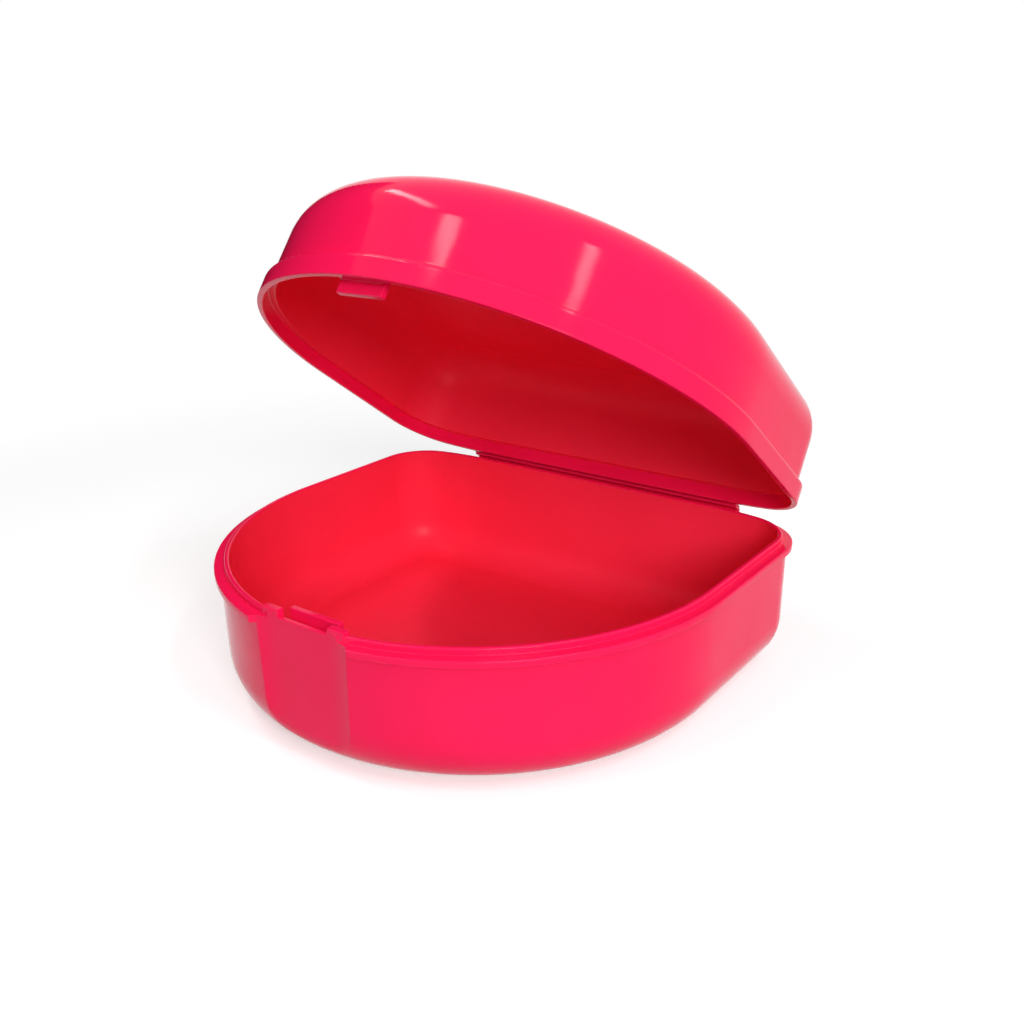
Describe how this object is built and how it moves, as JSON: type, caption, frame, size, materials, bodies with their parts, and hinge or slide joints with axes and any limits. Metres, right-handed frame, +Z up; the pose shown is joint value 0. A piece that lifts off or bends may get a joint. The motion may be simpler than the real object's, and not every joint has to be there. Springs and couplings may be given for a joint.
{
  "type": "retainer case",
  "caption": "Clamshell case for a dental retainer: a half-round base tray and a lid joined by a living hinge and held shut by a front catch.",
  "frame": {"origin": "middle of the flat foot under the base tray", "axes": "+Z up, X along the hinge, the front with the latch faces -Y"},
  "size_m": [0.083, 0.0805, 0.0759],
  "materials": {
    "case_plastic": "glossy injection-moulded polypropylene, hot pink to red"
  },
  "bodies": {
    "base": {"base_shell": "case_plastic", "base_keeper": "case_plastic", "living_hinge": "case_plastic"},
    "lid": {"lid_shell": "case_plastic", "lid_catch": "case_plastic"}
  },
  "joints": [
    {"name": "lid_hinge", "type": "hinge", "parent": "base", "child": "lid", "pos_m": [0, 0.03875, 0.0201], "axis": [-1, 0, 0], "range_deg": [-35.9, 142.1], "deforming": ["living_hinge"]}
  ]
}
